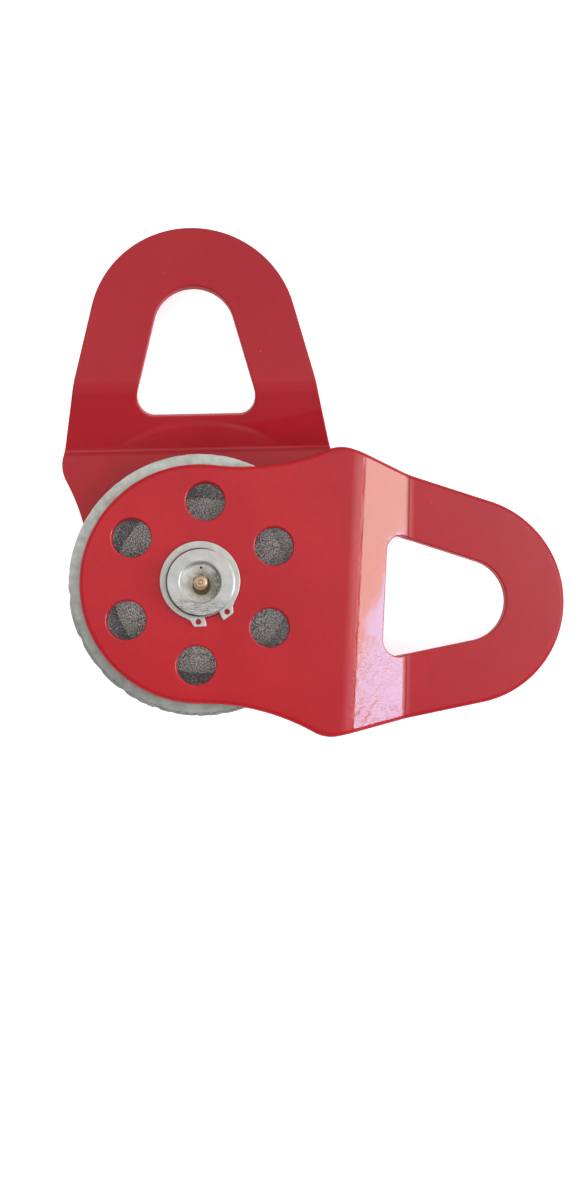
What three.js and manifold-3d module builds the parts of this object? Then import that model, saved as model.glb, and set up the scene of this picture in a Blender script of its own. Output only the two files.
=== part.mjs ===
// A recovery snatch block: a grooved sheave on a greased pin between two swinging side plates.
// Millimetres. The pin's axis is +Z, and the origin is the centre of the rear face of the pin's head.
// The front side plate points along +X, and the rear one is swung round to let a rope in.
import * as THREE from "three";
import { mergeVertices } from "three/addons/utils/BufferGeometryUtils.js";
import Module from "manifold-3d";

const wasm = await Module();
wasm.setup();

// ---- Driving dimensions ----
const PIN_RADIUS = 15;
const PIN_HEAD_RADIUS = 22;
const PIN_HEAD_HEIGHT = 4.9;
const MID_Z = 25; // the sheave's middle plane
const PIN_LENGTH = 49.6;
const SHEAVE_RADIUS = 58.5;
const SHEAVE_WIDTH = 27;
const ROPE_GROOVE_RADIUS = 6.5;
const PLATE_THICKNESS = 5;
const EYE_GAP = 0.6; // between the two eyes when both plates point the same way
const FRONT_PLATE_ANGLE = 0; // degrees from +X, anticlockwise seen from +Z
const REAR_PLATE_ANGLE = 95;
const RUNNING_GAP = 0.1; // radial play of what turns on the pin
const FACE_GAP = 0.05; // between faces that bear on each other
const ROUND_STEPS = 48; // sides of the pin and of what fits round it

// ---- Side plate, flat outline: u runs from the pin to the eye, v across ----
const DISC_RADIUS = 52.7;
const TIP_REACH = 168.2;
const TIP_RADIUS = 48.2;
const FLARE_ANGLE = THREE.MathUtils.degToRad(14.3); // of each long side, from the centreline
const HIP_U = 60;
const HIP_RADIUS = 16;
const NECK_RADIUS = 100; // the hollow between the disc and the hip
const EYE_REACH = 140.3;
const EYE_TIP_RADIUS = 18.8;
const EYE_FLARE_ANGLE = THREE.MathUtils.degToRad(14.5);
const EYE_BASE_U = 81.8;
const EYE_CORNER_RADIUS = 7.5;
const LIGHTENING_HOLES = 6;
const LIGHTENING_HOLE_RADIUS = 8.5;
const LIGHTENING_CIRCLE_RADIUS = 36;

// ---- Side plate, joggle: heights are from the sheave's middle plane ----
const WASHER_SPACE = 1.5;
const DISC_INNER_Z = SHEAVE_WIDTH / 2 + WASHER_SPACE;
const EYE_INNER_Z = EYE_GAP / 2;
const FIRST_FOLD_U = 67; // where the middle of the sheet's thickness folds down
const SECOND_FOLD_U = 93.5; // and where it folds flat again
const BEND_RADIUS = 12.5; // of the middle of the sheet

// ---- Sheave section ----
const BUSH_WALL = 3.5;
const HUB_RADIUS = 25;
const WEB_HALF_THICKNESS = 5;
const WEB_RADIUS = 41; // where the web meets the inside of the rim
const RIM_FACE_INNER_RADIUS = 46.5;
const RIM_BEVEL = 1.3;
const GROOVE_BOTTOM_RADIUS = 46.5;
const GROOVE_FLARE = THREE.MathUtils.degToRad(22.5);

// ---- Pin, circlip and grease nipple ----
const PIN_CHAMFER = 0.7;
const CIRCLIP_THICKNESS = 1.5;
const CIRCLIP_GROOVE_RADIUS = 14.3;
const CIRCLIP_RADIUS = 17.4;
const CIRCLIP_OFFSET = 0.8; // the outer edge's centre, away from the lugs
const LUG_HOLE_CIRCLE_RADIUS = 17.1;
const LUG_HOLE_RADIUS = 1.25;
const LUG_SPREAD = THREE.MathUtils.degToRad(45.4); // between the two lug holes
const CIRCLIP_GAP_ANGLE = -67.6; // degrees, where the lugs point
const RECESS_RADIUS = 8.8;
const RECESS_WALL_DEPTH = 6.4;
const NIPPLE_SEAT_DEPTH = 9.2; // of the nipple's hexagon below the pin's front end
const NIPPLE_SHANK_RADIUS = 3;
const NIPPLE_SHANK_LENGTH = 5.5;
const NIPPLE_BALL_RADIUS = 1.2;
const GREASE_HOLE_RADIUS = 1.75;

// ---- Materials ----
const paint = (color) => new THREE.MeshStandardMaterial({ color, roughness: 0.28, metalness: 0 });
const metal = (color, roughness) => new THREE.MeshStandardMaterial({ color, roughness, metalness: 1 });
const redPaint = paint(0xb3202a);
const castIron = metal(0x8a8a84, 0.6);
const zincSteel = metal(0xb9bab6, 0.38);
const springSteel = metal(0xc2bfb8, 0.35);
const washerSteel = metal(0x9c9c98, 0.45);
const bronze = metal(0x9a6b3a, 0.4);
const brass = metal(0xb58a4c, 0.3);

// ---- Geometry helpers ----
const point = (x, y) => new THREE.Vector2(x, y);

// Points along an arc, both ends included.
function arc(centre, radius, from, to, steps) {
  const points = [];
  for (let i = 0; i <= steps; i++) {
    const angle = from + ((to - from) * i) / steps;
    points.push(point(centre.x + radius * Math.cos(angle), centre.y + radius * Math.sin(angle)));
  }
  return points;
}

// A profile of (radius, z) points turned about Z. It starts and ends on the axis, or closes on itself.
function turned(profile, steps = ROUND_STEPS) {
  const outward = THREE.ShapeUtils.area(profile) > 0 ? profile : [...profile].reverse();
  return new THREE.LatheGeometry(outward, steps).rotateX(Math.PI / 2);
}

// A ring-shaped profile has its first point again at the end.
const closed = (profile) => [...profile, profile[0].clone()];

function extruded(shape, depth, curveSegments = 12) {
  return new THREE.ExtrudeGeometry(shape, { depth, curveSegments, bevelEnabled: false });
}

function cylinder(radius, length, steps = 24) {
  return new THREE.CylinderGeometry(radius, radius, length, steps).rotateX(Math.PI / 2);
}

function toSolid(geometry) {
  const bare = geometry.clone();
  bare.deleteAttribute("normal");
  bare.deleteAttribute("uv");
  const merged = mergeVertices(bare, 1e-4);
  return new wasm.Manifold(
    new wasm.Mesh({
      numProp: 3,
      vertProperties: merged.attributes.position.array,
      triVerts: new Uint32Array(merged.index.array),
    }),
  );
}

function toGeometry(solid) {
  const mesh = solid.getMesh();
  const geometry = new THREE.BufferGeometry();
  geometry.setAttribute("position", new THREE.BufferAttribute(mesh.vertProperties, 3));
  geometry.setIndex(new THREE.BufferAttribute(mesh.triVerts, 1));
  geometry.computeVertexNormals();
  return geometry;
}

// ---- Side plate ----
// Half of the outline, from the tip of the eye to the far side of the disc, as arcs joined by tangents.
function halfOutline() {
  const tip = point(TIP_REACH - TIP_RADIUS, 0);
  const sideNormal = point(Math.sin(FLARE_ANGLE), Math.cos(FLARE_ANGLE));
  const sideStart = tip.clone().addScaledVector(sideNormal, TIP_RADIUS);
  const hipTouchU = HIP_U + HIP_RADIUS * sideNormal.x;
  const hipTouch = point(hipTouchU, sideStart.y + (sideStart.x - hipTouchU) * Math.tan(FLARE_ANGLE));
  const hip = hipTouch.clone().addScaledVector(sideNormal, -HIP_RADIUS);
  // The neck's arc touches the disc and the hip from outside.
  const toNeck = DISC_RADIUS + NECK_RADIUS;
  const hipToNeck = HIP_RADIUS + NECK_RADIUS;
  const toHip = hip.length();
  const turn = Math.acos((toNeck ** 2 + toHip ** 2 - hipToNeck ** 2) / (2 * toNeck * toHip));
  const neckAngle = hip.angle() + turn;
  const neck = point(toNeck * Math.cos(neckAngle), toNeck * Math.sin(neckAngle));
  const hipEnd = neck.clone().sub(hip).angle();
  return [
    ...arc(tip, TIP_RADIUS, 0, Math.PI / 2 - FLARE_ANGLE, 18),
    ...arc(hip, HIP_RADIUS, Math.PI / 2 - FLARE_ANGLE, hipEnd, 8),
    ...arc(neck, NECK_RADIUS, hipEnd - Math.PI, neckAngle - Math.PI, 8).slice(1),
    ...arc(point(0, 0), DISC_RADIUS, neckAngle, Math.PI, 24).slice(1),
  ];
}

function halfEye() {
  const tip = point(EYE_REACH - EYE_TIP_RADIUS, 0);
  const sideNormal = point(Math.sin(EYE_FLARE_ANGLE), Math.cos(EYE_FLARE_ANGLE));
  const sideStart = tip.clone().addScaledVector(sideNormal, EYE_TIP_RADIUS);
  const cornerU = EYE_BASE_U + EYE_CORNER_RADIUS;
  const touchU = cornerU + EYE_CORNER_RADIUS * sideNormal.x;
  const touch = point(touchU, sideStart.y + (sideStart.x - touchU) * Math.tan(EYE_FLARE_ANGLE));
  const corner = touch.clone().addScaledVector(sideNormal, -EYE_CORNER_RADIUS);
  return [
    ...arc(tip, EYE_TIP_RADIUS, 0, Math.PI / 2 - EYE_FLARE_ANGLE, 12),
    ...arc(corner, EYE_CORNER_RADIUS, Math.PI / 2 - EYE_FLARE_ANGLE, Math.PI, 8),
  ];
}

// Both halves of an outline that starts on the centreline.
function mirrored(half) {
  const other = half.filter((p) => Math.abs(p.y) > 1e-6).map((p) => point(p.x, -p.y));
  return [...half, ...other.reverse()];
}

function plateOutline() {
  const shape = new THREE.Shape(mirrored(halfOutline()));
  shape.holes.push(new THREE.Path(mirrored(halfEye())));
  shape.holes.push(new THREE.Path(arc(point(0, 0), PIN_RADIUS + RUNNING_GAP, 0, 2 * Math.PI, ROUND_STEPS)));
  for (let i = 0; i < LIGHTENING_HOLES; i++) {
    const angle = ((i + 0.5) * 2 * Math.PI) / LIGHTENING_HOLES;
    const centre = point(Math.cos(angle), Math.sin(angle)).multiplyScalar(LIGHTENING_CIRCLE_RADIUS);
    shape.holes.push(new THREE.Path(arc(centre, LIGHTENING_HOLE_RADIUS, 0, 2 * Math.PI, 28)));
  }
  return shape;
}

// One face of the bent sheet seen from the side, at a distance outward from the middle of its thickness.
function sheetFace(outward) {
  const high = DISC_INNER_Z + PLATE_THICKNESS / 2;
  const low = EYE_INNER_Z + PLATE_THICKNESS / 2;
  const slope = Math.atan2(high - low, SECOND_FOLD_U - FIRST_FOLD_U);
  const tangent = BEND_RADIUS * Math.tan(slope / 2);
  const first = point(FIRST_FOLD_U - tangent, high - BEND_RADIUS);
  const second = point(SECOND_FOLD_U + tangent, low + BEND_RADIUS);
  return [
    point(-DISC_RADIUS - 5, high + outward),
    ...arc(first, BEND_RADIUS + outward, Math.PI / 2, Math.PI / 2 - slope, 6),
    ...arc(second, BEND_RADIUS - outward, 1.5 * Math.PI - slope, 1.5 * Math.PI, 6),
    point(TIP_REACH + 5, low + outward),
  ];
}

// The sheet's side view, as wide as the plate, cut to the plate's outline. Its disc faces +Z.
function sidePlate() {
  const outer = sheetFace(PLATE_THICKNESS / 2);
  const inner = sheetFace(-PLATE_THICKNESS / 2);
  const width = 3 * SHEAVE_RADIUS;
  const sheet = extruded(new THREE.Shape([...outer, ...inner.reverse()]), width);
  sheet.translate(0, 0, -width / 2).rotateX(Math.PI / 2);
  const blank = extruded(plateOutline(), 2 * DISC_INNER_Z);
  return toGeometry(toSolid(sheet).intersect(toSolid(blank)));
}

// ---- Sheave and what it turns on ----
// Half of the sheave's section, from the bore at the middle plane out to the bottom of the groove.
function halfSheaveSection() {
  const half = SHEAVE_WIDTH / 2;
  const grooveCentre = point(GROOVE_BOTTOM_RADIUS + ROPE_GROOVE_RADIUS, 0);
  const groove = arc(grooveCentre, ROPE_GROOVE_RADIUS, Math.PI / 2 + GROOVE_FLARE, Math.PI, 5);
  const flareTop = groove[0].y + (SHEAVE_RADIUS - groove[0].x) * Math.tan(GROOVE_FLARE);
  return [
    point(PIN_RADIUS + BUSH_WALL, half - 0.8),
    point(PIN_RADIUS + BUSH_WALL + 0.8, half),
    point(HUB_RADIUS - 0.8, half),
    point(HUB_RADIUS, half - 0.8),
    point(HUB_RADIUS + 1, WEB_HALF_THICKNESS + 1.5),
    point(HUB_RADIUS + 2.5, WEB_HALF_THICKNESS),
    point(WEB_RADIUS - 1.5, WEB_HALF_THICKNESS),
    point(WEB_RADIUS, WEB_HALF_THICKNESS + 0.8),
    point(RIM_FACE_INNER_RADIUS - 0.6, half - 0.6),
    point(RIM_FACE_INNER_RADIUS, half),
    point(SHEAVE_RADIUS - RIM_BEVEL, half),
    point(SHEAVE_RADIUS - 0.3 * RIM_BEVEL, half - 0.3 * RIM_BEVEL),
    point(SHEAVE_RADIUS, half - RIM_BEVEL),
    point(SHEAVE_RADIUS, flareTop + 0.6),
    point(SHEAVE_RADIUS - 0.8, flareTop - 0.1),
    ...groove,
  ];
}

function sheave() {
  const upper = halfSheaveSection();
  const lower = upper.filter((p) => Math.abs(p.y) > 1e-6).map((p) => point(p.x, -p.y));
  return turned(closed([...upper, ...lower.reverse()]), 64);
}

// A bronze sleeve with a grease groove round the middle of its bore.
function sheaveBush() {
  const inside = PIN_RADIUS + RUNNING_GAP;
  const outside = PIN_RADIUS + BUSH_WALL - FACE_GAP;
  const half = SHEAVE_WIDTH / 2 - 0.1;
  const grooveHalf = 2;
  const grooveRadius = inside + 0.9;
  return turned(
    closed([
      point(inside, -half),
      point(inside, -grooveHalf),
      point(grooveRadius, -grooveHalf + 0.6),
      point(grooveRadius, grooveHalf - 0.6),
      point(inside, grooveHalf),
      point(inside, half),
      point(outside, half),
      point(outside, -half),
    ]),
  );
}

function thrustWasher() {
  const half = WASHER_SPACE / 2 - FACE_GAP;
  return turned(
    closed([
      point(PIN_RADIUS + RUNNING_GAP, -half),
      point(HUB_RADIUS - 0.8, -half),
      point(HUB_RADIUS - 0.8, half),
      point(PIN_RADIUS + RUNNING_GAP, half),
    ]),
  );
}

// ---- Pin ----
// The groove for a circlip starts just outside the plate's outer face.
const CLIP_INNER_Z = DISC_INNER_Z + PLATE_THICKNESS + FACE_GAP;

function pinSection() {
  const nearGroove = CLIP_INNER_Z - FACE_GAP / 2;
  const farGroove = CLIP_INNER_Z + CIRCLIP_THICKNESS + FACE_GAP;
  const recessFloor = PIN_LENGTH - RECESS_WALL_DEPTH;
  const seat = PIN_LENGTH - NIPPLE_SEAT_DEPTH;
  const tappedRadius = NIPPLE_SHANK_RADIUS + FACE_GAP;
  const tappedEnd = seat - NIPPLE_SHANK_LENGTH - 1.5;
  return [
    point(0, 0),
    point(PIN_HEAD_RADIUS - PIN_CHAMFER, 0),
    point(PIN_HEAD_RADIUS, PIN_CHAMFER),
    point(PIN_HEAD_RADIUS, PIN_HEAD_HEIGHT - PIN_CHAMFER),
    point(PIN_HEAD_RADIUS - PIN_CHAMFER, PIN_HEAD_HEIGHT),
    point(PIN_RADIUS, PIN_HEAD_HEIGHT),
    point(PIN_RADIUS, MID_Z + nearGroove),
    point(CIRCLIP_GROOVE_RADIUS, MID_Z + nearGroove),
    point(CIRCLIP_GROOVE_RADIUS, MID_Z + farGroove),
    point(PIN_RADIUS, MID_Z + farGroove),
    point(PIN_RADIUS, PIN_LENGTH - PIN_CHAMFER),
    point(PIN_RADIUS - PIN_CHAMFER, PIN_LENGTH),
    point(RECESS_RADIUS + 0.4, PIN_LENGTH),
    point(RECESS_RADIUS, PIN_LENGTH - 0.4),
    point(RECESS_RADIUS, recessFloor),
    point(NIPPLE_HEX_RADIUS + 0.3, seat),
    point(tappedRadius, seat),
    point(tappedRadius, tappedEnd),
    point(GREASE_HOLE_RADIUS, tappedEnd - 0.8),
    point(GREASE_HOLE_RADIUS, MID_Z - 2),
    point(0, MID_Z - 3),
  ];
}

// The pin, with a cross hole that takes grease from its axial hole to the bush.
function axlePin() {
  const crossHole = cylinder(GREASE_HOLE_RADIUS, 3 * PIN_RADIUS, 16).rotateY(Math.PI / 2);
  crossHole.translate(0, 0, MID_Z);
  return toGeometry(toSolid(turned(pinSection())).subtract(toSolid(crossHole)));
}

// A lug with its hole on +X. Its flank on the -Y side slopes out of the ring, and the other faces the gap.
function lugShape() {
  return new THREE.Shape([
    point(15.2, -5.6),
    point(16.3, -3.7),
    point(18.7, -2.1),
    point(19.3, -1.4),
    point(19, 3.2),
    point(18.7, 3.7),
    point(14.2, 2.6),
    point(13, 0),
  ]);
}

// An external retaining ring with its gap and lugs towards +X. Its ring is widest opposite the lugs.
function circlip() {
  const ring = new THREE.Shape(arc(point(-CIRCLIP_OFFSET, 0), CIRCLIP_RADIUS, 0, 2 * Math.PI, 64));
  const bore = new THREE.Shape(arc(point(0, 0), CIRCLIP_GROOVE_RADIUS + FACE_GAP, 0, 2 * Math.PI, 48));
  const gapReach = CIRCLIP_RADIUS + 5;
  const gapEdge = LUG_SPREAD / 2 - Math.atan2(2.9, 15);
  const gapCorner = point(gapReach * Math.cos(gapEdge), gapReach * Math.sin(gapEdge));
  const gap = new THREE.Shape([point(0, 0), point(gapCorner.x, -gapCorner.y), gapCorner]);
  const cutter = (shape) => toSolid(extruded(shape, 2 * CIRCLIP_THICKNESS)).translate([0, 0, -1]);
  let solid = toSolid(extruded(ring, CIRCLIP_THICKNESS)).subtract(cutter(gap));
  for (const side of [1, -1]) {
    const lug = extruded(lugShape(), CIRCLIP_THICKNESS);
    // The lug on the +Y side is turned over, so that both face the gap between them.
    if (side > 0) lug.rotateX(Math.PI).translate(0, 0, CIRCLIP_THICKNESS);
    solid = solid.add(toSolid(lug.rotateZ((side * LUG_SPREAD) / 2)));
  }
  solid = solid.subtract(cutter(bore));
  for (const side of [1, -1]) {
    const hole = cylinder(LUG_HOLE_RADIUS, 3 * CIRCLIP_THICKNESS, 16);
    hole.translate(LUG_HOLE_CIRCLE_RADIUS, 0, 0).rotateZ((side * LUG_SPREAD) / 2);
    solid = solid.subtract(toSolid(hole));
  }
  return toGeometry(solid);
}

// ---- Grease nipple: z is from its seat in the pin's recess ----
const NIPPLE_HEX_RADIUS = 4.04;
const NIPPLE_HEX_HEIGHT = 3.2;
const NIPPLE_HEIGHT = 8.8;
const NIPPLE_CHAMBER_RADIUS = 1.6;
const NIPPLE_MOUTH_RADIUS = 0.8;
const NIPPLE_SEAT_Z = NIPPLE_HEIGHT - 0.7; // where the ball's conical seat meets the mouth
const BALL_Z = NIPPLE_SEAT_Z + NIPPLE_MOUTH_RADIUS - (NIPPLE_BALL_RADIUS + FACE_GAP) * Math.SQRT2;
const SPRING_RADIUS = 1.1;
const SPRING_WIRE_RADIUS = 0.18;
const SPRING_FOOT_Z = -NIPPLE_SHANK_LENGTH + 1.1;

function nippleBody() {
  const outside = turned(
    [
      point(0, -NIPPLE_SHANK_LENGTH),
      point(NIPPLE_SHANK_RADIUS - 0.6, -NIPPLE_SHANK_LENGTH),
      point(NIPPLE_SHANK_RADIUS, -NIPPLE_SHANK_LENGTH + 0.6),
      point(NIPPLE_SHANK_RADIUS, NIPPLE_HEX_HEIGHT - 0.5),
      point(2.4, NIPPLE_HEX_HEIGHT),
      point(2.4, NIPPLE_HEX_HEIGHT + 1),
      point(3.25, NIPPLE_HEX_HEIGHT + 2.1),
      point(3.25, NIPPLE_HEX_HEIGHT + 2.9),
      point(2.8, NIPPLE_HEIGHT - 0.6),
      point(2.2, NIPPLE_HEIGHT),
      point(0, NIPPLE_HEIGHT),
    ],
    24,
  );
  const hexagon = new THREE.CylinderGeometry(NIPPLE_HEX_RADIUS, NIPPLE_HEX_RADIUS, NIPPLE_HEX_HEIGHT, 6);
  hexagon.rotateX(Math.PI / 2).translate(0, 0, NIPPLE_HEX_HEIGHT / 2 + FACE_GAP);
  const lip = -NIPPLE_SHANK_LENGTH + 0.9;
  const flare = NIPPLE_CHAMBER_RADIUS - NIPPLE_MOUTH_RADIUS;
  const bore = turned(
    [
      point(0, -NIPPLE_SHANK_LENGTH - 1),
      point(1, -NIPPLE_SHANK_LENGTH - 1),
      point(1, lip),
      point(NIPPLE_CHAMBER_RADIUS, lip),
      point(NIPPLE_CHAMBER_RADIUS, NIPPLE_SEAT_Z - flare),
      point(NIPPLE_MOUTH_RADIUS, NIPPLE_SEAT_Z),
      point(NIPPLE_MOUTH_RADIUS, NIPPLE_HEIGHT + 1),
      point(0, NIPPLE_HEIGHT + 1),
    ],
    24,
  );
  return toGeometry(toSolid(outside).add(toSolid(hexagon)).subtract(toSolid(bore)));
}

class Helix extends THREE.Curve {
  constructor(radius, fromZ, toZ, turns) {
    super();
    Object.assign(this, { radius, fromZ, toZ, turns });
  }
  getPoint(t, target = new THREE.Vector3()) {
    const angle = 2 * Math.PI * this.turns * t;
    const z = this.fromZ + (this.toZ - this.fromZ) * t;
    return target.set(this.radius * Math.cos(angle), this.radius * Math.sin(angle), z);
  }
}

function nippleSpring() {
  const clearance = NIPPLE_BALL_RADIUS + SPRING_WIRE_RADIUS + FACE_GAP;
  const top = BALL_Z - Math.sqrt(clearance ** 2 - SPRING_RADIUS ** 2) - 0.05;
  const helix = new Helix(SPRING_RADIUS, SPRING_FOOT_Z, top, 6);
  const wire = new THREE.Shape(arc(point(0, 0), SPRING_WIRE_RADIUS, 0, 2 * Math.PI, 6).slice(1));
  return new THREE.ExtrudeGeometry(wire, { steps: 72, extrudePath: helix });
}

// ---- Assembly ----
function piece(name, geometry, material, z = 0, turnDegrees = 0) {
  const mesh = new THREE.Mesh(geometry, material);
  mesh.name = name;
  mesh.position.z = z;
  mesh.rotation.z = THREE.MathUtils.degToRad(turnDegrees);
  return mesh;
}

// A piece of the rear side is its front twin turned over about the X axis.
function turnedOver(mesh) {
  const group = new THREE.Group();
  group.add(mesh);
  group.rotation.x = Math.PI;
  return group;
}

function fromMiddle(...children) {
  const group = new THREE.Group();
  group.add(...children);
  group.position.z = MID_Z;
  return group;
}

const plateGeometry = sidePlate();
const washerGeometry = thrustWasher();
const washerZ = SHEAVE_WIDTH / 2 + WASHER_SPACE / 2;
const nippleZ = PIN_LENGTH - NIPPLE_SEAT_DEPTH + FACE_GAP;
const ball = new THREE.SphereGeometry(NIPPLE_BALL_RADIUS, 16, 10);

const snatchBlock = new THREE.Group();
snatchBlock.add(
  piece("axle_pin", axlePin(), zincSteel),
  fromMiddle(
    piece("front_side_plate", plateGeometry, redPaint, 0, FRONT_PLATE_ANGLE),
    turnedOver(piece("rear_side_plate", plateGeometry, redPaint, 0, -REAR_PLATE_ANGLE)),
    piece("sheave", sheave(), castIron),
    piece("sheave_bush", sheaveBush(), bronze),
    piece("front_thrust_washer", washerGeometry, washerSteel, washerZ),
    piece("rear_thrust_washer", washerGeometry, washerSteel, -washerZ),
    piece("circlip", circlip(), springSteel, CLIP_INNER_Z, CIRCLIP_GAP_ANGLE),
  ),
  piece("grease_nipple_body", nippleBody(), brass, nippleZ),
  piece("grease_nipple_ball", ball, springSteel, nippleZ + BALL_Z),
  piece("grease_nipple_spring", nippleSpring(), springSteel, nippleZ),
);

export default snatchBlock;
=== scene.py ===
"""Looks for a recovery snatch block.

Each CAD node is replaced by a finer mesh with a procedural material. Lengths are in millimetres until
a mesh is finished, and metres after that. The frame is the CAD's: the pin's axis is +Z, the front side
plate points along +X, and the block lies on the pin's head at z = 0."""

import math

import bmesh
import bpy
from mathutils import Matrix, Vector, noise

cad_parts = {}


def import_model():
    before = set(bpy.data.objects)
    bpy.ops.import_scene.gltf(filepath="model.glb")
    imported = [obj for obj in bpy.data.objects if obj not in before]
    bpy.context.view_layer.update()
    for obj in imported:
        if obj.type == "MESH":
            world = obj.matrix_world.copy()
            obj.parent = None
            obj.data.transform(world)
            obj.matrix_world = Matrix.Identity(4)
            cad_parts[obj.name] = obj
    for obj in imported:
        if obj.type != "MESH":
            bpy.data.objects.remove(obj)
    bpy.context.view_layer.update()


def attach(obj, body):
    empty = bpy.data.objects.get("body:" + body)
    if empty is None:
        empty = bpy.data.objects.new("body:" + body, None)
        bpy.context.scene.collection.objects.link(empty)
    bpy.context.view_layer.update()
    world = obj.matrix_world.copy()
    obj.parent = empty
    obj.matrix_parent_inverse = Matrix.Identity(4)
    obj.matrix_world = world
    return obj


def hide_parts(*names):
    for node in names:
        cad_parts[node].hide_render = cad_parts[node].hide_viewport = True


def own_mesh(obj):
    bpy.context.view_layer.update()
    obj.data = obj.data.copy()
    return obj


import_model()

# ---------------------------------------------------------------- dimensions
MID_Z = 25.0  # the sheave's middle plane
PIN_R = 15.0
PIN_TOP = 49.6
HEAD_R, HEAD_H = 22.0, 4.9
RECESS_R, RECESS_DEPTH = 8.8, 6.4
SEAT_DEPTH = 9.2  # of the nipple's seat, below the pin's end
SHEAVE_R = 58.5
SHEAVE_HALF = 13.5  # half its width
SIDE_ROOM = 1.5  # between the sheave and a plate, for a thrust washer
WASHER_T = 1.4
BORE_R = PIN_R + 0.12  # of the bush and the washers
BUSH_R = 18.45
PLATE_T = 5.0
EYE_GAP = 0.6  # between the two eyes
DISC_MID = SHEAVE_HALF + SIDE_ROOM + PLATE_T / 2  # middle of the sheet, above the middle plane
EYE_MID = EYE_GAP / 2 + PLATE_T / 2
FOLD_1, FOLD_2 = 67.0, 93.5
BEND_R = 12.5  # of the middle of the sheet
FRONT_SKEW = 0.027  # the front plate's second fold isn't quite square to its centreline
REAR_ANGLE = math.radians(95)
PLAY = 0.05
CLIP_T = 1.5
CLIP_Z = MID_Z + DISC_MID + PLATE_T / 2 + PLAY  # its lower face
CLIP_SPREAD = math.radians(22.7)  # from the middle of the gap to each lug's hole
CLIP_TURN = math.radians(-67.6)  # where the gap points
NIPPLE_Z = PIN_TOP - SEAT_DEPTH + PLAY
BALL_R, BALL_Z = 1.2, 47.58
WIRE_R = 0.17


# ---------------------------------------------------------------- flat outlines
def arc(cx, cy, r, a0, a1, steps):
    """Points along an arc given in radians, both ends included."""
    return [
        (cx + r * math.cos(a0 + (a1 - a0) * i / steps), cy + r * math.sin(a0 + (a1 - a0) * i / steps))
        for i in range(steps + 1)
    ]


def circle(cx, cy, r, steps):
    return arc(cx, cy, r, 0, 2 * math.pi, steps)[:-1]


def whole(half):
    """A half outline on +Y, from the centreline round to the centreline, with its mirror image."""
    return half + [(x, -y) for x, y in reversed(half) if abs(y) > 1e-6]


def plate_outline():
    """The plate's outline pressed flat: a round end, a straight flare to the hips, a neck and a disc."""
    reach, tip_r, flare = 168.2, 48.2, math.radians(14.3)
    hip_u, hip_r, neck_r, disc_r = 60.0, 16.0, 100.0, 52.7
    # The flare is tangent to the tip and the hip, and the neck to the hip and the disc.
    nx, ny = math.sin(flare), math.cos(flare)
    sx, sy = reach - tip_r + tip_r * nx, tip_r * ny
    hx = hip_u + hip_r * nx
    hy = sy + (sx - hx) * math.tan(flare)
    hip = Vector((hx - hip_r * nx, hy - hip_r * ny))
    a, b, d = disc_r + neck_r, hip_r + neck_r, hip.length
    turn = math.acos((a * a + d * d - b * b) / (2 * a * d))
    neck_angle = math.atan2(hip.y, hip.x) + turn
    neck = Vector((a * math.cos(neck_angle), a * math.sin(neck_angle)))
    end = math.atan2(neck.y - hip.y, neck.x - hip.x)
    return whole(
        arc(reach - tip_r, 0, tip_r, 0, math.pi / 2 - flare, 48)
        + arc(hip.x, hip.y, hip_r, math.pi / 2 - flare, end, 20)
        + arc(neck.x, neck.y, neck_r, end - math.pi, neck_angle - math.pi, 24)[1:]
        + arc(0, 0, disc_r, neck_angle, math.pi, 72)[1:]
    )


def eye_outline():
    """The shackle eye: a round end, widening towards a straight base with rounded corners."""
    reach, tip_r, flare, base, corner_r = 140.3, 18.8, math.radians(14.5), 81.8, 7.5
    nx, ny = math.sin(flare), math.cos(flare)
    sx, sy = reach - tip_r + tip_r * nx, tip_r * ny
    tx = base + corner_r + corner_r * nx
    ty = sy + (sx - tx) * math.tan(flare)
    return whole(
        arc(reach - tip_r, 0, tip_r, 0, math.pi / 2 - flare, 32)
        + arc(base + corner_r, ty - corner_r * ny, corner_r, math.pi / 2 - flare, math.pi, 20)
    )


def rotated(points, angle):
    c, s = math.cos(angle), math.sin(angle)
    return [(x * c - y * s, x * s + y * c) for x, y in points]


def circlip_outline():
    """The ring and its two lugs, with the gap towards +X."""
    bore, ring_r, offset = 14.35, 17.4, 0.8
    # A lug with its hole on +X and its gap side on +Y, from its root on the bore round to the ring.
    lug = [(14.15, 2.35), (16.2, 3.0), (18.45, 3.65), (18.75, 3.55), (18.95, 3.2)]
    lug += [(19.35, -1.0), (19.3, -1.5), (19.0, -2.0), (17.9, -2.75)]
    lug += [(17.0, -3.3), (16.55, -3.9), (16.3, -4.8)]
    lower = rotated(lug, -CLIP_SPREAD)
    upper = [(x, -y) for x, y in reversed(lower)]
    start = math.atan2(upper[0][1], upper[0][0] + offset)
    outer = arc(-offset, 0, ring_r, start + 0.05, 2 * math.pi - start - 0.05, 120)
    root = math.atan2(upper[-1][1], upper[-1][0])
    inner = arc(0, 0, bore, 2 * math.pi - root - 0.03, root + 0.03, 110)
    # Anticlockwise: the upper lug from the gap to the ring, round, the lower lug, back along the bore.
    return list(reversed(upper)) + outer + list(reversed(lower)) + inner


# ---------------------------------------------------------------- meshes
def finished(name, bm, node, body, material, angle=35, weighted=True):
    """Turns a bmesh in millimetres into the piece that stands for a CAD node."""
    bmesh.ops.transform(bm, matrix=Matrix.Scale(0.001, 4), verts=bm.verts)
    bmesh.ops.recalc_face_normals(bm, faces=bm.faces)
    mesh = bpy.data.meshes.new(name)
    bm.to_mesh(mesh)
    bm.free()
    mesh.shade_smooth()
    mesh.set_sharp_from_angle(angle=math.radians(angle))
    obj = bpy.data.objects.new(name, mesh)
    bpy.context.scene.collection.objects.link(obj)
    if weighted:
        modifier = obj.modifiers.new("weighted", "WEIGHTED_NORMAL")
        modifier.keep_sharp = True
        modifier.weight = 80
    mesh.materials.append(material)
    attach(obj, body)
    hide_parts(node)
    return obj


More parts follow.
